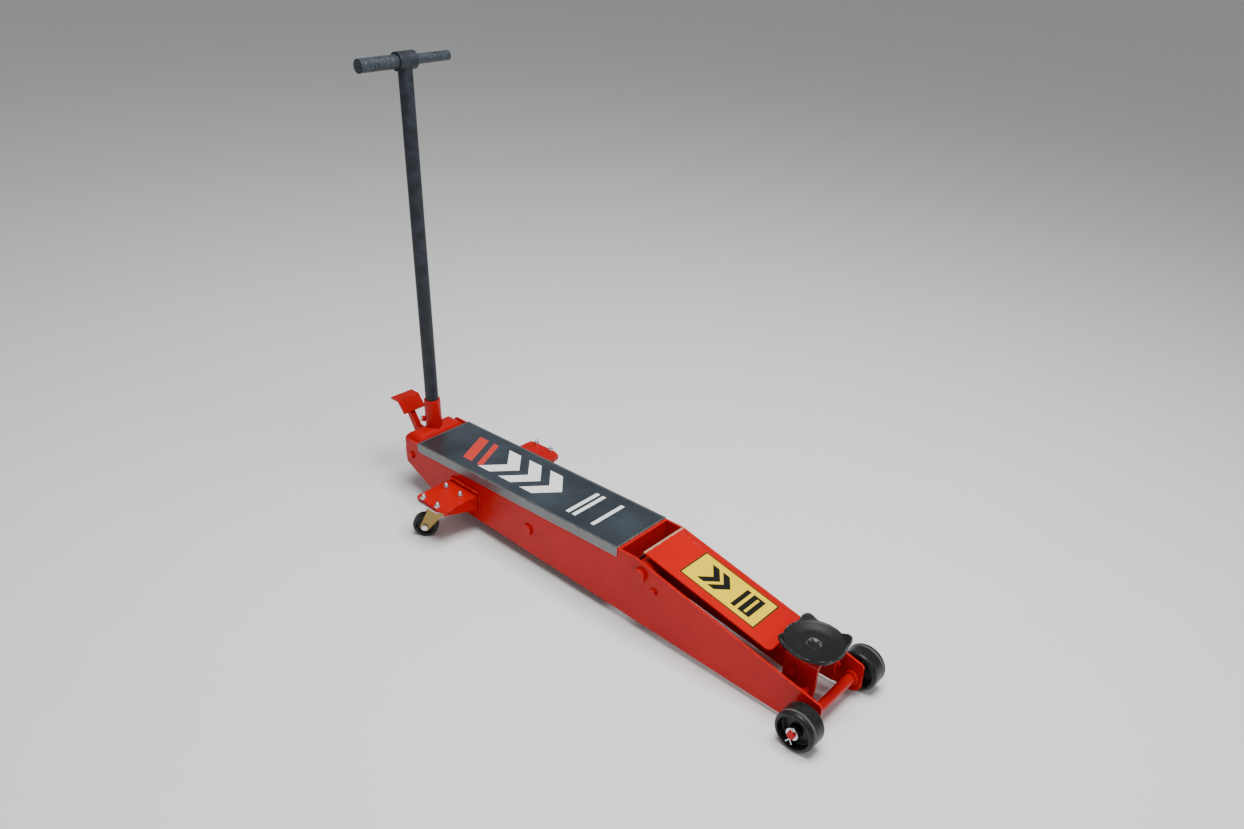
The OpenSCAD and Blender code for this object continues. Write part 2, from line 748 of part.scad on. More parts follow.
// ---- Handle yoke, socket and pedal ----
crown_x = [-36, 24];
crown_z = [21, 56];
yoke_half = plate_in - 4;
yoke_leg_t = 16;
socket_r = handle_r + 4.5;
socket_low = 30;
socket_top = 133;
module crown_section() {
    rounded(
        [[-yoke_half, crown_z[0]], [yoke_half, crown_z[0]], [yoke_half, crown_z[1]], [-yoke_half, crown_z[1]]],
        [0, 0, 26, 26]
    );
}
module crown() {
    intersection() {
        translate([crown_x[0], 0, 0]) rotate([90, 0, 90]) linear_extrude(crown_x[1] - crown_x[0]) crown_section();
        slab(-yoke_half, yoke_half) rounded(
            [[crown_x[0], crown_z[0]], [crown_x[1], crown_z[0]], [crown_x[1], crown_z[1]], [crown_x[0], crown_z[1]]],
            [0, 0, 22, 22]
        );
    }
}
module handle_yoke() {
    roller_local = roller_at - yoke_pivot;
    ear = roller_r - 1;
    color(paint_red) difference() {
        deck() at(yoke_pivot) {
            crown();
            both_sides() slab(yoke_half - yoke_leg_t, yoke_half) {
                circle(16);
                polygon([[-16, 0], [16, 0], [20, crown_z[0] + 4], [-30, crown_z[0] + 4]]);
            }
            both_sides() slab(13, 21) {
                polygon([
                    roller_local - [ear, 0], roller_local + [ear, 0], [roller_local[0] + ear, crown_z[0] + 2],
                    [roller_local[0] - ear, crown_z[0] + 2]
                ]);
                translate(roller_local) circle(ear);
            }
        }
        deck() at(yoke_pivot) bar([0, 0], yoke_pin_r + run_gap, -plate_out, plate_out);
        deck() at(yoke_pivot) bar(roller_local, 4 + run_gap, -30, 30);
        handle_frame() translate([0, 0, socket_low]) cylinder(r = socket_r + run_gap, h = socket_top);
    }
}
clamp_h = 76;
clamp_turn = 225;
module clamp_place() { handle_frame() translate([0, 0, clamp_h]) rotate([0, 90, clamp_turn]) children(); }
module handle_socket() {
    color(paint_red) difference() {
        union() {
            handle_frame() translate([0, 0, socket_low]) cylinder(r = socket_r, h = socket_top - socket_low);
            clamp_place() cylinder(r = 8, h = socket_r + 8);
        }
        handle_frame() translate([0, 0, socket_low + 4]) cylinder(r = handle_r + run_gap, h = socket_top);
        clamp_place() cylinder(r = 4 + run_gap, h = socket_r + 9);
    }
}
module clamp_screw() {
    color(zinc) clamp_place() {
        translate([0, 0, handle_r + 0.6]) cylinder(r = 4, h = socket_r - handle_r + 10);
        translate([0, 0, socket_r + 8]) hex(13, 6);
    }
}
pedal_y = -10;
arm_half = 8;
module pedal_arm() {
    color(paint_red) deck() at(yoke_pivot) slab(pedal_y - arm_half, pedal_y + arm_half) polygon([
        [crown_x[0], crown_z[0] + 2], [-70, crown_z[0] + 2], [-99, 68.5], [-88.5, 80.6], [-60, crown_z[0] + 18],
        [crown_x[0], crown_z[0] + 18]
    ]);
}
module pedal_pad() {
    color(paint_red) deck() at(yoke_pivot) slab(pedal_y - pedal_w / 2 + 3, pedal_y + pedal_w / 2 + 3) polygon([
        [-135, 105], [-135, 105 + pad_t], [-104.4, 105 + pad_t], [-77.9, 79], [-81.4, 75.5], [-106.4, 105]
    ]);
}
module pump_roller() {
    color(machined) deck() difference() {
        bar(roller_at, roller_r, -12, 12);
        bar(roller_at, 4 + run_gap, -13, 13);
    }
}
module roller_pin() {
    color(zinc) deck() bar(roller_at, 4, -24, 24);
}

// ---- Handle ----
head_r = 22;
head_half = 26;
module handle_tube() {
    color(slate) handle_frame() difference() {
        translate([0, 0, socket_low + 10]) cylinder(r = handle_r, h = handle_l - socket_low - 10);
        translate([0, 0, socket_low + 9]) cylinder(r = handle_r - 3, h = handle_l);
        bar([0, handle_l], head_r + run_gap, -60, 60);
    }
}
module handle_head() {
    color(slate) handle_frame() difference() {
        bar([0, handle_l], head_r, -head_half, head_half);
        bar([0, handle_l], grip_r + run_gap, -head_half - 1, 0);
        bar([0, handle_l], bar_r + run_gap, -1, head_half + 1);
    }
}
module cross_bar() {
    color(slate) handle_frame() {
        bar([0, handle_l], grip_r, -bar_half, -run_gap);
        bar([0, handle_l], bar_r, -1, bar_half);
    }
}

side_plate(1);  // side_plate_left
side_plate(-1);  // side_plate_right
top_cover();
cover_strip();
front_axle();
axle_sleeve();
axle_washers();
split_pins();
rear_cross_plate();
mid_cross_tube();
caster_bracket(1);  // caster_bracket_left
caster_bracket(-1);  // caster_bracket_right
caster_plates();
caster_bolts();
caster_nuts();
main_pivot_pin();
link_anchor_pins();
cylinder_pins();
yoke_pins();
pump_block();
oil_tank();
cylinder_barrel();
cylinder_gland();
filler_plug();
unit_bolts();
lift_arm();
arm_cover();
ram_pin();
saddle_carrier();
carrier_bolt();
carrier_nut();
link_pins();
saddle();
saddle_clip();
level_link(1);  // level_link_left
level_link(-1);  // level_link_right
ram_rod();
ram_head();
return_springs();
handle_yoke();
handle_socket();
pedal_arm();
pedal_pad();
clamp_screw();
pump_roller();
roller_pin();
handle_tube();
handle_head();
cross_bar();
pump_plunger();
plunger_spring();
release_spindle();
front_wheel(1);  // front_wheel_left
front_wheel(-1);  // front_wheel_right
caster_fork(1);  // caster_fork_left
caster_fork(-1);  // caster_fork_right
caster_axle(1);  // caster_axle_left
caster_axle(-1);  // caster_axle_right
caster_wheel(1);  // caster_wheel_left
caster_wheel(-1);  // caster_wheel_right
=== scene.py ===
"""Looks of a long-chassis workshop trolley jack, laid out as an add-on and run as a script."""

import json
import math

import bpy
from mathutils import Matrix, Vector

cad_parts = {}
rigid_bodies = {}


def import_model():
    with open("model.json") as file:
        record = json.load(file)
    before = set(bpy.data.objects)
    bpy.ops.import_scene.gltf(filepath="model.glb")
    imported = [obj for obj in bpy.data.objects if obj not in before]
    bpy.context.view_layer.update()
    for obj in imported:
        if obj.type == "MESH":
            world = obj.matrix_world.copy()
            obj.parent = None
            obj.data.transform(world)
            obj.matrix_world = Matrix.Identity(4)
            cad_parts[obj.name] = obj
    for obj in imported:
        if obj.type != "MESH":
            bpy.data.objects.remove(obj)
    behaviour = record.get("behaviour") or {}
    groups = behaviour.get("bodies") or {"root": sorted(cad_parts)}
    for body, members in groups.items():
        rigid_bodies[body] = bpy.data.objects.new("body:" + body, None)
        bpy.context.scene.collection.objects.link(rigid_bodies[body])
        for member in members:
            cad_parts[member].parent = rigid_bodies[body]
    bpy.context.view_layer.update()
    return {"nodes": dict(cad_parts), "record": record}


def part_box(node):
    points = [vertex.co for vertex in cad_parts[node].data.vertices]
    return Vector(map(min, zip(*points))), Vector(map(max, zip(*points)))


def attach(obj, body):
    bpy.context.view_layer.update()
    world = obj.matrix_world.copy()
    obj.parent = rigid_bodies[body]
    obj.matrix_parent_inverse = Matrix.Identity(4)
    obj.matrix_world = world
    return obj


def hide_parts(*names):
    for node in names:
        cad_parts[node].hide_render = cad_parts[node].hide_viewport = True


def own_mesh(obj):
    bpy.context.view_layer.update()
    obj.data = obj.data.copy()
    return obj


bl_info = {
    "name": "Trolley Jack",
    "version": (1, 0, 0),
    "blender": (4, 5, 0),
    "location": "3D View > Sidebar > Jack",
    "description": "Finishes, springs, bolts, welds and saddle of a workshop trolley jack",
    "category": "Object",
}

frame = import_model()


def box_of(node):
    """Lowest corner, highest corner and middle of a node."""
    low, high = (Vector(corner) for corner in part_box(node))
    return low, high, (low + high) / 2


# Sizes and colours


class JackSizes(bpy.types.PropertyGroup):
    edge_radius: bpy.props.FloatProperty(
        name="Edge radius", description="Rounding of pressed and cut edges",
        default=0.0011, min=0.0002, max=0.004, unit="LENGTH")
    spring_wire: bpy.props.FloatProperty(
        name="Spring wire", description="Radius of the return springs' wire",
        default=0.0014, min=0.0008, max=0.002, unit="LENGTH")
    spring_pitch: bpy.props.FloatProperty(
        name="Spring pitch", description="Advance of a return spring in one turn",
        default=0.0036, min=0.003, max=0.008, unit="LENGTH")
    pump_wire: bpy.props.FloatProperty(
        name="Pump spring wire", description="Radius of the pump spring's wire",
        default=0.0019, min=0.001, max=0.002, unit="LENGTH")
    pump_pitch: bpy.props.FloatProperty(
        name="Pump spring pitch", description="Advance of the pump spring in one turn",
        default=0.0105, min=0.005, max=0.014, unit="LENGTH")
    thread_pitch: bpy.props.FloatProperty(
        name="Thread pitch", description="Advance of a caster bolt's thread in one turn",
        default=0.00125, min=0.001, max=0.002, unit="LENGTH")
    bead: bpy.props.FloatProperty(
        name="Weld bead", description="Radius of a weld bead",
        default=0.0022, min=0.001, max=0.004, unit="LENGTH")


class JackColours(bpy.types.PropertyGroup):
    red: bpy.props.FloatVectorProperty(
        name="Red", description="Enamel of the chassis and the arm", subtype="COLOR",
        default=(0.50, 0.002, 0.002), min=0, max=1)
    steel: bpy.props.FloatVectorProperty(
        name="Cover", description="Brushed sheet of the top cover", subtype="COLOR",
        default=(0.066, 0.085, 0.104), min=0, max=1)
    slate: bpy.props.FloatVectorProperty(
        name="Slate", description="Paint of the handle", subtype="COLOR",
        default=(0.012, 0.015, 0.020), min=0, max=1)
    label: bpy.props.FloatVectorProperty(
        name="Label", description="Ground of the arm's label", subtype="COLOR",
        default=(1.0, 0.70, 0.0), min=0, max=1)


# Shader maths


class Number:
    """A shader socket that takes part in Python sums."""

    def __init__(self, finish, socket):
        self.finish = finish
        self.socket = socket

    def maths(self, operation, *others):
        return Number(self.finish, self.finish.node(
            "ShaderNodeMath", {"operation": operation}, *others).outputs[0])

    def __add__(self, other): return self.maths("ADD", self, other)

    def __radd__(self, other): return self.maths("ADD", other, self)

    def __sub__(self, other): return self.maths("SUBTRACT", self, other)

    def __rsub__(self, other): return self.maths("SUBTRACT", other, self)

    def __mul__(self, other): return self.maths("MULTIPLY", self, other)

    def __rmul__(self, other): return self.maths("MULTIPLY", other, self)

    def __truediv__(self, other): return self.maths("DIVIDE", self, other)

    def __abs__(self): return self.maths("ABSOLUTE", self)

    def root(self): return self.maths("SQRT", self)

    def either(self, other): return self.maths("MAXIMUM", self, other)

    def wave(self): return self.maths("SINE", self)

    def within(self, low, high):
        """0 below low, 1 above high, smooth between."""
        return Number(self.finish, self.finish.node(
            "ShaderNodeMapRange", {"interpolation_type": "SMOOTHSTEP"},
            self, low, high, 0.0, 1.0).outputs[0])


class Finish:
    """One procedural material: a Principled shader and the nodes that feed it."""

    def __init__(self, name, **fixed):
        self.material = bpy.data.materials.new(name)
        if self.material.name != name:
            raise ValueError("there is already a material named " + name)
        self.material.use_nodes = True
        self.tree = self.material.node_tree
        self.tree.nodes.clear()
        output = self.tree.nodes.new("ShaderNodeOutputMaterial")
        self.shader = self.tree.nodes.new("ShaderNodeBsdfPrincipled")
        self.tree.links.new(self.shader.outputs[0], output.inputs[0])
        for key, value in fixed.items():
            self.shader.inputs[key.replace("_", " ").title().replace("Ior", "IOR")].default_value = value
        self.place = self.node("ShaderNodeTexCoord", {}).outputs["Object"]
        split = self.node("ShaderNodeSeparateXYZ", {}, self.place)
        self.x, self.y, self.z = (Number(self, socket) for socket in split.outputs)

    def node(self, kind, settings, *values, **named):
        """A node of this kind: settings first, then its sockets in order or by name."""
        made = self.tree.nodes.new(kind)
        for key, value in settings.items():
            setattr(made, key, value)
        pairs = list(zip(made.inputs, values)) + [(made.inputs[key], value) for key, value in named.items()]
        for socket, value in pairs:
            value = value.socket if isinstance(value, Number) else value
            if isinstance(value, bpy.types.NodeSocket):
                self.tree.links.new(value, socket)
            elif value is not None:
                socket.default_value = value
        return made

    def spread(self, stretch):
        """Object coordinates stretched along each axis."""
        return self.node("ShaderNodeMapping", {}, self.place, Scale=stretch).outputs[0]

    def noise(self, scale, detail=3.0, stretch=(1, 1, 1), roughness=0.55):
        made = self.node("ShaderNodeTexNoise", {}, Vector=self.spread(stretch),
                         Scale=scale, Detail=detail, Roughness=roughness)
        return Number(self, made.outputs["Fac"])

    def colour(self, factor, first, second):
        """first where factor is 0 and second where it is 1."""
        made = self.tree.nodes.new("ShaderNodeMix")
        made.data_type = "RGBA"
        made.clamp_factor = True
        for socket, value in ((made.inputs[0], factor), (made.inputs[6], first), (made.inputs[7], second)):
            if isinstance(value, Number):
                value = value.socket
            if isinstance(value, bpy.types.NodeSocket):
                self.tree.links.new(value, socket)
            elif isinstance(value, float):
                socket.default_value = value
            else:
                socket.default_value = (*value, 1.0)
        return made.outputs[2]

    def edges(self, radius):
        """1 along edges and 0 on flats, from the turn between the rounded and the true normal."""
        rounded = self.node("ShaderNodeBevel", {"samples": 6}, radius).outputs[0]
        true = self.node("ShaderNodeNewGeometry", {}).outputs["True Normal"]
        dot = self.node("ShaderNodeVectorMath", {"operation": "DOT_PRODUCT"}, rounded, true)
        return (1.0 - Number(self, dot.outputs["Value"])).within(0.004, 0.09)

    def feed(self, colour=None, roughness=None, metallic=None, bump=None, strength=0.2, depth=0.0005,
             round_edges=0.001):
        for key, value in (("Base Color", colour), ("Roughness", roughness), ("Metallic", metallic)):
            if value is None:
                continue
            value = value.socket if isinstance(value, Number) else value
            self.tree.links.new(value, self.shader.inputs[key])
        rounded = self.node("ShaderNodeBevel", {"samples": 6}, round_edges).outputs[0]
        if bump is None:
            self.tree.links.new(rounded, self.shader.inputs["Normal"])
            return self.material
        made = self.node("ShaderNodeBump", {}, Strength=strength, Distance=depth, Height=bump, Normal=rounded)
        self.tree.links.new(made.outputs[0], self.shader.inputs["Normal"])
        return self.material


def panel(u, v, middle, half, soft=0.0006):
    """Mask of a rectangle in the u, v plane."""
    return ((half[0] - abs(u - middle[0])).within(0.0, soft)
            * (half[1] - abs(v - middle[1])).within(0.0, soft))


def tint(colour, factor):
    return tuple(channel * factor for channel in colour)


# Finishes


def red_enamel(sizes, colours):
    f = Finish("red_enamel", coat_weight=0.08, coat_roughness=0.12, specular_ior_level=0.15)
    cloud = f.noise(9.0, 3.0)
    grime = f.noise(55.0, 5.0, roughness=0.7).within(0.56, 0.74)
    fleck = f.noise(420.0, 2.0).within(0.70, 0.76)
    # painted highlight: brighter red laid on the rounded edges, in noise patches
    edge_patches = f.edges(sizes.edge_radius * 1.6) * f.noise(70.0, 3.0).within(0.46, 0.62)
    colour = f.colour(cloud.within(0.3, 0.7) * 0.5, colours.red, tint(colours.red, 0.72))
    colour = f.colour(grime * 0.3, colour, (0.13, 0.012, 0.01))
    colour = f.colour(fleck * 0.35, colour, (0.07, 0.02, 0.018))
    colour = f.colour(edge_patches * 0.55, colour, (0.9, 0.10, 0.06))
    return f.feed(colour, 0.24 + cloud * 0.16 + grime * 0.12,
                  bump=f.noise(160.0, 3.0) + f.noise(14.0, 2.0) * 1.5, strength=0.22, depth=0.0006,
                  round_edges=sizes.edge_radius)


def arm_enamel(sizes, colours):
    """Red enamel with a bare rear edge, press ripples, spatter and a generic label."""
    f = Finish("arm_enamel", coat_weight=0.03, coat_roughness=0.1, specular_ior_level=0.12)
    low, high, _ = box_of("arm_cover")
    back = f.x - low.x
    cloud = f.noise(9.0, 3.0)
    colour = f.colour(cloud.within(0.3, 0.7) * 0.4, tint(colours.red, 1.15), tint(colours.red, 0.85))
    ripple = ((back * 330.0 + f.noise(18.0, 2.0) * 3.0).wave() * (1.0 - back.within(0.012, 0.07)))
    bare = 1.0 - (back + f.noise(60.0, 3.0) * 0.004).within(0.006, 0.0085)
    # painted shade: a dark red line along the groove 9 mm in from the side edge; the same mask also sinks the
    # groove in the bump
    shaded_groove = 1.0 - abs(f.y - (high.y - 0.009)).within(0.0006, 0.0016)
    spattered = panel(f.x, f.y, (low.x + 0.045, high.y - 0.02), (0.035, 0.016), 0.008)
    specks = f.noise(260.0, 2.0).within(0.64, 0.7) * spattered
    colour = f.colour(shaded_groove * 0.6, colour, (0.1, 0.01, 0.008))
    colour = f.colour(bare * 0.9, colour, (0.47, 0.34, 0.22))
    colour = f.colour(specks * 0.7, colour, (0.3, 0.27, 0.24))
    # label: a bordered panel with a chevron, a bar and a block
    centre = (low.x + 0.190, 0.003)
    half = (0.103, 0.051)
    u, v = f.x - centre[0], f.y - centre[1]
    plate = panel(u, v, (0, 0), half)
    border = plate * (1.0 - panel(u, v, (0, 0), (half[0] - 0.0035, half[1] - 0.0035)))
    chevron = panel(u + abs(v) * 0.8, v, (-0.035, 0), (0.010, 0.031))
    second = panel(u + abs(v) * 0.8, v, (-0.006, 0), (0.010, 0.031))
    bar = panel(u, v, (0.033, 0), (0.006, 0.034))
    block = panel(u, v, (0.062, 0), (0.016, 0.034)) * (1.0 - panel(u, v, (0.062, 0), (0.0035, 0.027)))
    ink = border.either(chevron).either(second).either(bar).either(block)
    label = f.colour(f.noise(40.0, 3.0) * 0.25, colours.label, tint(colours.label, 0.82))
    label = f.colour(ink, label, (0.012, 0.012, 0.012))
    top = Number(f, f.node("ShaderNodeSeparateXYZ", {}, f.node(
        "ShaderNodeNewGeometry", {}).outputs["True Normal"]).outputs[2]).within(0.4, 0.6)
    colour = f.colour(plate * top, colour, label)
    bump = ripple * 0.6 + f.noise(120.0, 3.0) * 0.5 + specks * 2.0 - shaded_groove * 1.5 + plate * 0.5
    return f.feed(colour, 0.22 + cloud * 0.14 + bare * 0.25, bump=bump, strength=0.3, depth=0.0009,
                  round_edges=sizes.edge_radius)


def cover_sheet(sizes, colours):
    """Brushed, lacquered sheet with a generic striped graphic."""
    f = Finish("cover_sheet", coat_weight=0.08, coat_roughness=0.18)
    low, high, middle = box_of("top_cover")
    grain = f.noise(60.0, 4.0, stretch=(1.0, 22.0, 22.0))
    fine = f.noise(260.0, 3.0, stretch=(0.6, 14.0, 14.0))
    cloud = f.noise(7.0, 3.0)
    colour = f.colour(cloud.within(0.3, 0.72), tint(colours.steel, 0.72), tint(colours.steel, 1.45))
    colour = f.colour(grain.within(0.35, 0.75) * 0.4, colour, tint(colours.steel, 1.9))
    rim = 1.0 - panel(f.x, f.y, (middle.x, 0), (middle.x - low.x - 0.004, high.y - 0.005), 0.003)
    colour = f.colour(rim * 0.5, colour, (0.26, 0.26, 0.25))
    edge_patches = f.edges(sizes.edge_radius * 2) * f.noise(80.0, 3.0).within(0.4, 0.6)
    colour = f.colour(edge_patches * 0.8, colour, (0.6, 0.6, 0.58))
    top = Number(f, f.node("ShaderNodeSeparateXYZ", {}, f.node(
        "ShaderNodeNewGeometry", {}).outputs["True Normal"]).outputs[2]).within(0.4, 0.6)
    # graphic: a red block, white chevrons and two thin lines
    u = f.x - low.x
    v = f.y
    slant = u + v * 0.45
    red = panel(slant, v, (0.130, 0), (0.017, 0.052)).either(panel(slant, v, (0.176, 0), (0.009, 0.052)))
    white = panel(u + abs(v) * 0.9, v, (0.270, 0), (0.022, 0.056))
    for place in (0.345, 0.420):
        white = white.either(panel(u + abs(v) * 0.9, v, (place, 0), (0.022, 0.056)))
    for place in (0.512, 0.532, 0.592):
        white = white.either(panel(u, v, (place, 0), (0.006, 0.056)))
    chips = 1.0 - f.noise(190.0, 4.0).within(0.62, 0.7) * 0.7
    colour = f.colour(red * top * chips, colour, (0.62, 0.03, 0.02))
    colour = f.colour(white * top * chips, colour, (0.93, 0.94, 0.95))
    printed = red.either(white) * top
    metal = 0.75 - printed * 0.75
    return f.feed(colour, 0.28 + grain * 0.2 + printed * 0.12, metal,
                  bump=grain + fine * 0.6 + cloud * 0.8, strength=0.14, depth=0.0004,
                  round_edges=sizes.edge_radius)


def plated(name, colour_a, colour_b, sizes, dull=0.22):
    """Zinc plate: cloudy, slightly scratched."""
    f = Finish(name, metallic=1.0)
    cloud = f.noise(70.0, 4.0)
    scratch = f.noise(300.0, 3.0, stretch=(1, 6, 1)).within(0.6, 0.75)
    colour = f.colour(cloud.within(0.35, 0.65), colour_a, colour_b)
    colour = f.colour(scratch * 0.3, colour, tint(colour_a, 0.5))
    return f.feed(colour, dull + cloud * 0.2, bump=cloud + scratch, strength=0.12, depth=0.0003,
                  round_edges=sizes.edge_radius * 0.6)


def cast(name, base, sizes, rough=0.42, wear=0.35, coarse=240.0):
    """Painted casting: fine pitting and rubbed edges."""
    f = Finish(name, specular_ior_level=0.28)
    pits = f.noise(coarse, 4.0, roughness=0.65)
    cloud = f.noise(16.0, 3.0)
    edge_patches = f.edges(sizes.edge_radius * 2.2) * f.noise(95.0, 4.0).within(0.46, 0.6)
    colour = f.colour(cloud.within(0.3, 0.7), base, tint(base, 1.9))
    colour = f.colour(edge_patches * wear, colour, (0.34, 0.34, 0.34))
    return f.feed(colour, rough + pits * 0.18 - edge_patches * 0.1, bump=pits + cloud, strength=0.4, depth=0.0005,
                  round_edges=sizes.edge_radius * 1.4)


def wheel_black(name, axle, tread, shoulder, sizes):
    """Black wheel with a scuffed grey band where it rolls."""
    f = Finish(name, specular_ior_level=0.28)
    across = f.x - axle[0]
    up = f.z - axle[1]
    radius = (across * across + up * up).root()
    side = abs(f.y)
    band = radius.within(tread - 0.0016, tread - 0.0002) * (1.0 - abs(side - shoulder).within(0.001, 0.0045))
    cloud = f.noise(60.0, 4.0)
    dust = f.noise(210.0, 4.0).within(0.48, 0.7)
    colour = f.colour(cloud.within(0.3, 0.7), (0.006, 0.006, 0.007), (0.014, 0.014, 0.015))
    colour = f.colour(band * (0.3 + cloud * 0.6), colour, (0.15, 0.14, 0.13))
    colour = f.colour(dust * 0.08, colour, (0.15, 0.14, 0.12))
    return f.feed(colour, 0.3 + band * 0.35 + cloud * 0.12, bump=cloud + dust * band, strength=0.3,
                  depth=0.0006, round_edges=sizes.edge_radius * 1.5)


def caster_black(sizes):
    f = Finish("caster_moulding", specular_ior_level=0.3)
    cloud = f.noise(80.0, 4.0)
    dust = f.noise(230.0, 4.0).within(0.5, 0.7)
    colour = f.colour(cloud.within(0.3, 0.7), (0.007, 0.007, 0.008), (0.02, 0.02, 0.021))
    colour = f.colour(dust * 0.15, colour, (0.16, 0.15, 0.13))
    return f.feed(colour, 0.4 + cloud * 0.2, bump=cloud, strength=0.3, depth=0.0005,
                  round_edges=sizes.edge_radius * 1.4)


def slate_paint(name, base, sizes, mottle):
    """Semi-gloss slate paint, rubbed where hands hold it."""
    f = Finish(name, coat_weight=0.05, coat_roughness=0.3, specular_ior_level=0.25)
    cloud = f.noise(38.0, 4.0)
    spots = f.noise(170.0, 4.0).within(0.5, 0.66)
    scuff = f.noise(120.0, 3.0, stretch=(3, 3, 0.3)).within(0.6, 0.72)
    colour = f.colour(cloud.within(0.32, 0.68), base, tint(base, 1.9))
    colour = f.colour(spots * mottle, colour, (0.10, 0.13, 0.13))
    colour = f.colour(scuff * 0.2, colour, (0.09, 0.10, 0.11))
    edge_patches = f.edges(sizes.edge_radius * 1.5) * cloud.within(0.42, 0.6)
    colour = f.colour(edge_patches * 0.4, colour, (0.14, 0.15, 0.155))
    return f.feed(colour, 0.36 + cloud * 0.2, bump=cloud + spots, strength=0.2, depth=0.0004,
                  round_edges=sizes.edge_radius)


def ground_steel(sizes):
    f = Finish("ground_steel", metallic=1.0)
    grain = f.noise(300.0, 3.0, stretch=(18, 1, 1))
    film = f.noise(20.0, 3.0)
    colour = f.colour(film.within(0.35, 0.7) * 0.7, (0.5, 0.5, 0.5), (0.26, 0.24, 0.2))
    return f.feed(colour, 0.24 + grain * 0.18, bump=grain, strength=0.12, depth=0.0003,
                  round_edges=sizes.edge_radius * 0.5)


def finish_of(name):
    return bpy.data.materials[name]


SLOT_FINISH = {
    "red": "red_enamel",
    "arm_red": "arm_enamel",
    "cover_steel": "cover_sheet",
    "zinc": "bright_zinc",
    "yellow_zinc": "fork_plating",
    "cast_black": "black_casting",
    "saddle_black": "saddle_casting",
    "caster_black": "caster_moulding",
    "slate_paint": "handle_enamel",
    "bar_paint": "bar_enamel",
    "machined": "ground_steel",
}


# Mesh and Geometry Nodes helpers


def mesh_piece(name, vertices, faces, finish, smooth=True):
    mesh = bpy.data.meshes.new(name)
    mesh.from_pydata(vertices, [], faces)
    mesh.materials.append(finish)
    mesh.polygons.foreach_set("use_smooth", [smooth] * len(mesh.polygons))
    mesh.update()
    piece = bpy.data.objects.new(name, mesh)
    bpy.context.scene.collection.objects.link(piece)
    return piece


class Tree:
    """A Geometry Nodes tree with named inputs."""

    def __init__(self, name, **inputs):
        self.tree = bpy.data.node_groups.new(name, "GeometryNodeTree")
        self.values = {}
        self.ids = {}
        for key, value in inputs.items():
            kind = ("NodeSocketMaterial" if isinstance(value, bpy.types.Material) else
                    "NodeSocketInt" if isinstance(value, int) else
                    "NodeSocketObject" if isinstance(value, bpy.types.Object) else
                    "NodeSocketVector" if isinstance(value, Vector) else "NodeSocketFloat")
            item = self.tree.interface.new_socket(key, in_out="INPUT", socket_type=kind)
            self.values[item.identifier] = value
            self.ids[key] = item.identifier
        self.tree.interface.new_socket("Geometry", in_out="OUTPUT", socket_type="NodeSocketGeometry")
        self.inputs = self.tree.nodes.new("NodeGroupInput")
        self.output = self.tree.nodes.new("NodeGroupOutput")

    def given(self, key):
        return next(socket for socket in self.inputs.outputs if socket.identifier == self.ids[key])

    def add(self, kind, settings=None, **sockets):
        node = self.tree.nodes.new(kind)
        for key, value in (settings or {}).items():
            setattr(node, key, value)
        for key, value in sockets.items():
            socket = node.inputs[key.replace("_", " ")]
            if isinstance(value, bpy.types.NodeSocket):
                self.tree.links.new(value, socket)
            else:
                socket.default_value = value
        return node

    def maths(self, operation, first, second):
        node = self.tree.nodes.new("ShaderNodeMath")
        node.operation = operation
        for socket, value in zip(node.inputs, (first, second)):
            if isinstance(value, bpy.types.NodeSocket):
                self.tree.links.new(value, socket)
            else:
                socket.default_value = value
        return node.outputs[0]

    def join(self, *geometries):
        node = self.tree.nodes.new("GeometryNodeJoinGeometry")
        for geometry in geometries:
            self.tree.links.new(geometry, node.inputs[0])
        return node.outputs[0]

    def bake(self, name, geometry, base=None):
        """Ends the tree in Realize Instances and Set Material and returns a plain mesh object."""
        real = self.add("GeometryNodeRealizeInstances", Geometry=geometry)
        smooth = self.add("GeometryNodeSetShadeSmooth", Geometry=real.outputs[0])
        paint = self.add("GeometryNodeSetMaterial", Geometry=smooth.outputs[0], Material=self.given("Finish"))
        self.tree.links.new(paint.outputs[0], self.output.inputs[0])
        holder = bpy.data.objects.new(name + "_tree", base or bpy.data.meshes.new(name + "_base"))
        bpy.context.scene.collection.objects.link(holder)
        modifier = holder.modifiers.new("tree", "NODES")
        modifier.node_group = self.tree
        for identifier, value in self.values.items():
            modifier[identifier] = value
        evaluated = holder.evaluated_get(bpy.context.evaluated_depsgraph_get())
        mesh = bpy.data.meshes.new_from_object(evaluated)
        mesh.name = name
        bpy.data.objects.remove(holder)
        piece = bpy.data.objects.new(name, mesh)
        bpy.context.scene.collection.objects.link(piece)
        return piece


def points_mesh(name, points, edges=()):
    mesh = bpy.data.meshes.new(name)
    mesh.from_pydata([tuple(point) for point in points], list(edges), [])
    return mesh


# Operators


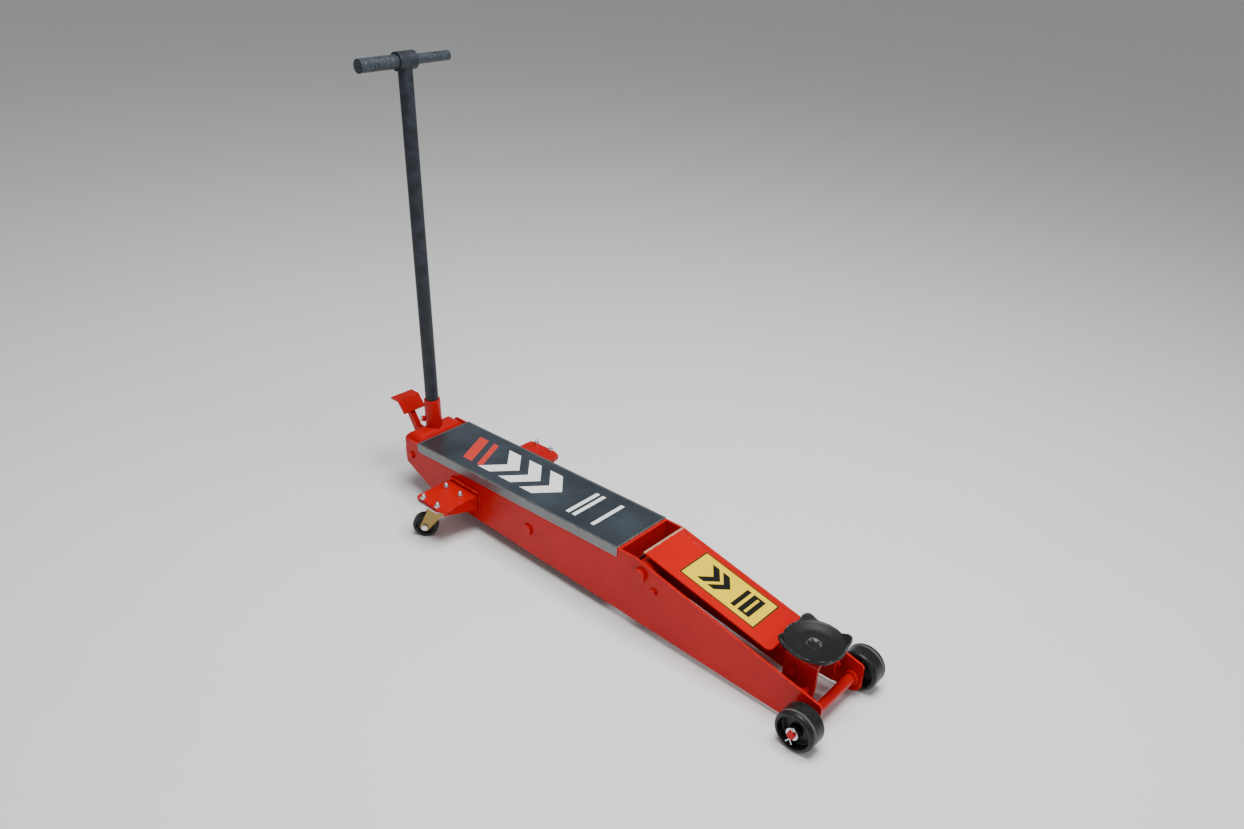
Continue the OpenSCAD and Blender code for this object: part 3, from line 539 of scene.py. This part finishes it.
class JACK_OT_finishes(bpy.types.Operator):
    """Makes every finish and puts it on the frame's own nodes"""

    bl_idname = "jack.finishes"
    bl_label = "Finishes"

    def execute(self, context):
        sizes, colours = context.scene.jack_sizes, context.scene.jack_colours
        red_enamel(sizes, colours)
        arm_enamel(sizes, colours)
        cover_sheet(sizes, colours)
        plated("bright_zinc", (0.78, 0.79, 0.8), (0.6, 0.62, 0.66), sizes)
        plated("fork_plating", (0.30, 0.19, 0.05), (0.30, 0.23, 0.10), sizes, 0.26)
        cast("black_casting", (0.014, 0.014, 0.015), sizes)
        cast("saddle_casting", (0.006, 0.006, 0.0065), sizes, 0.34, 0.35, 190.0)
        caster_black(sizes)
        slate_paint("handle_enamel", tuple(colours.slate), sizes, 0.06)
        slate_paint("bar_enamel", tint(tuple(colours.slate), 1.5), sizes, 0.45)
        ground_steel(sizes)
        low, high, middle = box_of("front_wheel_left")
        wheel_black("wheel_black", (middle.x, middle.z), middle.z - low.z, high.y - 0.013, sizes)
        for row in frame["record"]["subparts"]:
            node = frame["nodes"][row["node"]]
            name = SLOT_FINISH[row["material_slot"]]
            if row["node"].startswith("front_wheel"):
                name = "wheel_black"
            for slot in node.material_slots:
                slot.material = finish_of(name)
        return {"FINISHED"}


def lobed_reach(angle, inner, reach, lobe):
    """Distance from the centre to the rim of a saddle with four lobes."""
    turn = (angle - math.pi / 4 + math.pi / 4) % (math.pi / 2) - math.pi / 4
    side = abs(math.sin(turn))
    best = inner
    if side * (reach - lobe) < lobe:
        half_chord = math.sqrt(lobe ** 2 - ((reach - lobe) * side) ** 2)
        best = max(best, (reach - lobe) * math.cos(turn) + half_chord)
    elif side > 0:
        best = max(best, min(lobe / side, reach))
    return best


class JACK_OT_saddle(bpy.types.Operator):
    """Cast saddle: a dished plate with four raised lobes and rounded edges"""

    bl_idname = "jack.saddle"
    bl_label = "Saddle"

    def execute(self, context):
        low, high, middle = box_of("saddle")
        centre = Vector((middle.x, middle.y))
        top = high.z
        steps = 192
        reach, inner, lobe = 0.080, 0.068, 0.020
        under = top - 0.028
        raw = [lobed_reach(2 * math.pi * i / steps + math.pi / 4, inner, reach, lobe) for i in range(steps)]
        rim = [sum(raw[(i + k) % steps] for k in range(-3, 4)) / 7 for i in range(steps)]

        def upper(r):
            points = [(0, 4), (13, 4), (14.5, 8), (40, 9), (62, 15), (78, 27), (84, 28)]
            for (r0, z0), (r1, z1) in zip(points, points[1:]):
                if r * 1000 <= r1:
                    share = (r * 1000 - r0) / (r1 - r0)
                    share = share * share * (3 - 2 * share) * 0.35 + share * 0.65
                    return (z0 + (z1 - z0) * share) / 1000
            return 0.028

        def lower(r):
            points = [(0, 0), (34, 0), (58, 5), (84, 21)]
            for (r0, z0), (r1, z1) in zip(points, points[1:]):
                if r * 1000 <= r1:
                    return (z0 + (z1 - z0) * (r * 1000 - r0) / (r1 - r0)) / 1000
            return 0.021

        vertices, faces = [], []
        shares = [0.0, 0.08, 0.145, 0.155, 0.165, 0.18]
        shares += [0.18 + 0.82 * (k / 22) ** 0.85 for k in range(1, 23)]
        crown = 0.0022
        for share in shares[1:]:
            for i in range(steps):
                angle = 2 * math.pi * i / steps + math.pi / 4
                radius = (rim[i] - crown) * share
                vertices.append((radius * math.cos(angle), radius * math.sin(angle), upper(radius)))
        upper_rings = len(shares) - 1
        for turn in (30, 60, 90, 120, 150, 180):
            for i in range(steps):
                angle = 2 * math.pi * i / steps + math.pi / 4
                edge = rim[i]
                t0, t1 = upper(edge - crown), lower(edge - crown)
                half = (t0 - t1) / 2
                radius = edge - crown + crown * math.sin(math.radians(turn))
                height = t1 + half + half * math.cos(math.radians(turn))
                vertices.append((radius * math.cos(angle), radius * math.sin(angle), height))
        for share in (0.85, 0.7, 0.5, 0.3, 0.15):
            for i in range(steps):
                angle = 2 * math.pi * i / steps + math.pi / 4
                radius = (rim[i] - crown) * share
                vertices.append((radius * math.cos(angle), radius * math.sin(angle), lower(radius)))
        total = upper_rings + 6 + 5
        for ring in range(total - 1):
            for i in range(steps):
                j = (i + 1) % steps
                a, b = ring * steps, (ring + 1) * steps
                faces.append((a + i, b + i, b + j, a + j))
        start = len(vertices)
        vertices.append((0, 0, upper(0)))
        vertices.append((0, 0, lower(0)))
        last = (total - 1) * steps
        for i in range(steps):
            j = (i + 1) % steps
            faces.append((start, i, j))
            faces.append((start + 1, last + j, last + i))
        # stem
        ring_count = 48
        base = len(vertices)
        for height in (0.001, low.z - under):
            for i in range(ring_count):
                angle = 2 * math.pi * i / ring_count
                vertices.append((0.015 * math.cos(angle), 0.015 * math.sin(angle), height))
        vertices.append((0, 0, 0.001))
        vertices.append((0, 0, low.z - under))
        cap = len(vertices) - 2
        for i in range(ring_count):
            j = (i + 1) % ring_count
            faces.append((base + i, base + ring_count + i, base + ring_count + j, base + j))
            faces.append((cap, base + i, base + j))
            faces.append((cap + 1, base + ring_count + j, base + ring_count + i))
        placed = [(x + centre.x, y + centre.y, z + under) for x, y, z in vertices]
        piece = mesh_piece("saddle_casting", placed, faces, finish_of("saddle_casting"))
        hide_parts("saddle")
        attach(piece, "saddle_body")
        return {"FINISHED"}


class JACK_OT_caster_bolts(bpy.types.Operator):
    """Eight caster bolts with threads that stand out of the brackets"""

    bl_idname = "jack.caster_bolts"
    bl_label = "Caster bolts"

    def execute(self, context):
        sizes = context.scene.jack_sizes
        low, high, middle = box_of("caster_bolts")
        head, radius, head_flat = 0.0053, 0.004, 0.013
        half_row, row_gap = 0.0265, 0.074
        outer = high.y - head_flat / 2
        spots = [(middle.x + way * half_row, side * out, low.z)
                 for side in (-1, 1) for way in (-1, 1) for out in (outer, outer - row_gap)]
        length = high.z - low.z
        tree = Tree("caster_bolt_tree", Finish=finish_of("bright_zinc"), Length=length, Head=head,
                    Radius=radius, Pitch=sizes.thread_pitch)
        shank = tree.add("GeometryNodeMeshCylinder", {"fill_type": "NGON"}, Vertices=24,
                         Radius=tree.maths("MULTIPLY", tree.given("Radius"), 0.87),
                         Depth=tree.given("Length"))
        raised = tree.add("GeometryNodeTransform", Geometry=shank.outputs[0], Translation=(0, 0, length / 2))
        hexagon = tree.add("GeometryNodeMeshCylinder", {"fill_type": "NGON"}, Vertices=6,
                           Radius=0.0075, Depth=tree.given("Head"))
        head_up = tree.add("GeometryNodeTransform", Geometry=hexagon.outputs[0], Translation=(0, 0, head / 2))
        turns = tree.maths("DIVIDE", length - head - 0.002, tree.given("Pitch"))
        spiral = tree.add("GeometryNodeCurveSpiral", Resolution=14, Rotations=turns,
                          Start_Radius=tree.maths("MULTIPLY", tree.given("Radius"), 0.9),
                          End_Radius=tree.maths("MULTIPLY", tree.given("Radius"), 0.9),
                          Height=length - head - 0.002)
        ridge = tree.add("GeometryNodeCurvePrimitiveCircle", Resolution=4, Radius=0.00042)
        thread = tree.add("GeometryNodeCurveToMesh", Curve=spiral.outputs[0],
                          Profile_Curve=ridge.outputs[0], Fill_Caps=True)
        thread_up = tree.add("GeometryNodeTransform", Geometry=thread.outputs[0],
                             Translation=(0, 0, head + 0.001))
        one = tree.join(raised.outputs[0], head_up.outputs[0], thread_up.outputs[0])
        base = tree.tree.nodes.new("NodeGroupInput")
        geometry_in = tree.tree.interface.new_socket("Points", in_out="INPUT",
                                                     socket_type="NodeSocketGeometry")
        spots_socket = next(s for s in base.outputs if s.identifier == geometry_in.identifier)
        tree.tree.interface.move(geometry_in, 0)
        scatter = tree.add("GeometryNodeInstanceOnPoints", Points=spots_socket, Instance=one)
        piece = tree.bake("caster_bolt_set", scatter.outputs[0], points_mesh("bolt_spots", spots))
        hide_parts("caster_bolts")
        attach(piece, "chassis")
        return {"FINISHED"}


def coil(name, start, end, radius, wire, pitch, finish):
    """Coil spring from start to end, made by Geometry Nodes and turned into place."""
    along = Vector(end) - Vector(start)
    length = along.length
    tree = Tree(name + "_coil", Finish=finish, Radius=radius, Wire=wire, Length=length,
                Turns=(length - 2 * wire) / pitch)
    spiral = tree.add("GeometryNodeCurveSpiral", Resolution=24, Rotations=tree.given("Turns"),
                      Start_Radius=tree.given("Radius"), End_Radius=tree.given("Radius"),
                      Height=tree.maths("SUBTRACT", tree.given("Length"), 2 * wire))
    section = tree.add("GeometryNodeCurvePrimitiveCircle", Resolution=8, Radius=tree.given("Wire"))
    wound = tree.add("GeometryNodeCurveToMesh", Curve=spiral.outputs[0],
                     Profile_Curve=section.outputs[0], Fill_Caps=True)
    turn = along.to_track_quat("Z", "Y").to_euler()
    placed = tree.add("GeometryNodeTransform", Geometry=wound.outputs[0],
                      Translation=Vector(start) + along.normalized() * wire, Rotation=tuple(turn))
    return tree.bake(name, placed.outputs[0])


class JACK_OT_springs(bpy.types.Operator):
    """Coils of the two return springs and of the pump spring"""

    bl_idname = "jack.springs"
    bl_label = "Springs"

    def execute(self, context):
        sizes = context.scene.jack_sizes
        zinc = finish_of("bright_zinc")
        slide = next(j for j in frame["record"]["behaviour"]["joints"] if j["name"] == "plunger_slide")
        way = Vector(slide["axis"])
        way.normalize()
        low, high, middle = box_of("return_springs")
        radius = 0.0056
        y = high.y - 0.007
        for side, word in ((1, "left"), (-1, "right")):
            centre = Vector((middle.x, side * y, middle.z))
            half = (high.x - low.x) / 2 * 0.995
            piece = coil("return_spring_" + word, centre - way * half, centre + way * half, radius,
                         sizes.spring_wire, sizes.spring_pitch, zinc)
            if side > 0:
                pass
            else:
                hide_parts("return_springs")
            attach(piece, "chassis")
        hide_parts("return_springs")
        low, high, middle = box_of("plunger_spring")
        half = (high.x - low.x) / 2 * 0.985
        fixed = middle + way * half
        piece = coil("pump_spring", middle - way * half, fixed, 0.0169, sizes.pump_wire,
                     sizes.pump_pitch, zinc)
        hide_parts("plunger_spring")
        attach(piece, "chassis")
        left = 1.0 - (slide["range_m"][1] + 0.001) / (2 * half)
        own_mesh(piece)
        return {"FINISHED"}


def weld(name, body, runs, size, finish):
    """Overlapping weld drops along straight runs, one plain mesh for the body."""
    vertices, edges = [], []
    for start, end in runs:
        vertices += [start, end]
        edges.append((len(vertices) - 2, len(vertices) - 1))
    tree = Tree(name + "_drops", Finish=finish, Size=size, Seed=7)
    points = tree.tree.interface.new_socket("Runs", in_out="INPUT", socket_type="NodeSocketGeometry")
    tree.tree.interface.move(points, 0)
    given = tree.tree.nodes.new("NodeGroupInput")
    runs_in = next(s for s in given.outputs if s.identifier == points.identifier)
    curve = tree.add("GeometryNodeMeshToCurve", Mesh=runs_in)
    spaced = tree.add("GeometryNodeCurveToPoints", {"mode": "LENGTH"}, Curve=curve.outputs[0],
                      Length=tree.maths("MULTIPLY", tree.given("Size"), 1.1))
    vary = tree.add("FunctionNodeRandomValue", Seed=tree.given("Seed"))
    vary.data_type = "FLOAT"
    vary.inputs[2].default_value = 0.8
    vary.inputs[3].default_value = 1.15
    drop = tree.add("GeometryNodeMeshIcoSphere", Radius=tree.given("Size"), Subdivisions=2)
    scatter = tree.add("GeometryNodeInstanceOnPoints", Points=spaced.outputs[0], Instance=drop.outputs[0],
                       Scale=vary.outputs[1])
    piece = tree.bake(name, scatter.outputs[0], points_mesh(name + "_runs", vertices, edges))
    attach(piece, body)
    return piece


class JACK_OT_welds(bpy.types.Operator):
    """Weld beads round the caster brackets and at the foot of the pedal's arm"""

    bl_idname = "jack.welds"
    bl_label = "Welds"

    def execute(self, context):
        size = context.scene.jack_sizes.bead
        red = finish_of("red_enamel")
        runs = []
        for side, name in ((1, "caster_bracket_left"), (-1, "caster_bracket_right")):
            low, high, _ = box_of(name)
            y = low.y if side > 0 else high.y
            along = y + side * 0.007
            runs.append(((low.x + 0.004, along, high.z), (high.x - 0.004, along, high.z)))
            for x in (low.x, high.x):
                runs.append(((x, y + side * 0.001, low.z + 0.006), (x, y + side * 0.001, high.z - 0.016)))
        weld("bracket_welds", "chassis", runs, size, red)
        low, high, _ = box_of("pedal_arm")
        edge = box_of("handle_yoke")[0].x
        runs = [((edge + 0.001, side, low.z + 0.006), (edge + 0.001, side, low.z + 0.019))
                for side in (low.y, high.y)]
        weld("pedal_welds", "yoke", runs, size * 0.9, red)
        return {"FINISHED"}


class JACK_OT_stage(bpy.types.Operator):
    """Pale floor, soft studio lights and the camera"""

    bl_idname = "jack.stage"
    bl_label = "Stage"

    def execute(self, context):
        scene = context.scene
        pale = Finish("pale_floor", roughness=0.75, specular_ior_level=0.2)
        shade = pale.noise(3.0, 2.0)
        pale.feed(pale.colour(shade, (0.86, 0.86, 0.86), (0.9, 0.9, 0.9)))
        size = 40.0
        floor = mesh_piece("floor", [(-size, -size, 0), (size, -size, 0), (size, size, 0), (-size, size, 0)],
                           [(0, 1, 2, 3)], pale.material)
        world = bpy.data.worlds.new("studio")
        world.use_nodes = True
        world.node_tree.nodes["Background"].inputs[0].default_value = (0.97, 0.98, 1.0, 1.0)
        world.node_tree.nodes["Background"].inputs[1].default_value = 0.3
        scene.world = world
        lamps = (
            ("key_lamp", (0.5, -0.1, 3.3), (0.0, 0.0, 0.2), (2.4, 1.6), 150.0),
            ("front_lamp", (2.6, 0.6, 2.2), (0.3, 0.0, 0.15), (1.8, 1.2), 12.0),
            ("near_lamp", (-0.6, -3.0, 1.6), (0.0, 0.0, 0.2), (2.2, 1.2), 3.0),
        )
        for name, place, aim, extent, power in lamps:
            light = bpy.data.lights.new(name, "AREA")
            light.shape = "RECTANGLE"
            light.size, light.size_y = extent
            light.energy = power
            lamp = bpy.data.objects.new(name, light)
            facing = (Vector(aim) - Vector(place)).to_track_quat("-Z", "Y").to_matrix().to_4x4()
            lamp.matrix_world = Matrix.Translation(place) @ facing
            scene.collection.objects.link(lamp)
        lens = bpy.data.cameras.new("camera")
        lens.lens = 30.945
        lens.sensor_width = 36.0
        lens.clip_end = 200.0
        camera = bpy.data.objects.new("camera", lens)
        right = Vector((0.75306, 0.65467, 0.06566)).normalized()
        forward = Vector((-0.55164, 0.68262, -0.47930)).normalized()
        up = right.cross(forward)
        turn = Matrix((right, up, -forward)).transposed().to_4x4()
        camera.matrix_world = Matrix.Translation((1.37653, -1.63672, 1.61809)) @ turn
        scene.collection.objects.link(camera)
        scene.camera = camera
        return {"FINISHED"}


class JACK_PT_panel(bpy.types.Panel):
    bl_idname = "JACK_PT_panel"
    bl_label = "Trolley Jack"
    bl_space_type = "VIEW_3D"
    bl_region_type = "UI"
    bl_category = "Jack"

    def draw(self, context):
        column = self.layout.column()
        for group in (context.scene.jack_sizes, context.scene.jack_colours):
            for key in group.__annotations__:
                column.prop(group, key)
        for operator in OPERATORS:
            column.operator(operator.bl_idname)


OPERATORS = (
    JACK_OT_finishes,
    JACK_OT_saddle,
    JACK_OT_caster_bolts,
    JACK_OT_springs,
    JACK_OT_welds,
    JACK_OT_stage,
)
CLASSES = (JackSizes, JackColours, *OPERATORS, JACK_PT_panel)


def register():
    for item in CLASSES:
        bpy.utils.register_class(item)
    bpy.types.Scene.jack_sizes = bpy.props.PointerProperty(type=JackSizes)
    bpy.types.Scene.jack_colours = bpy.props.PointerProperty(type=JackColours)


def unregister():
    del bpy.types.Scene.jack_colours
    del bpy.types.Scene.jack_sizes
    for item in reversed(CLASSES):
        bpy.utils.unregister_class(item)


def main():
    register()
    for operator in OPERATORS:
        group, name = operator.bl_idname.split(".")
        getattr(getattr(bpy.ops, group), name)()


if __name__ == "__main__":
    main()
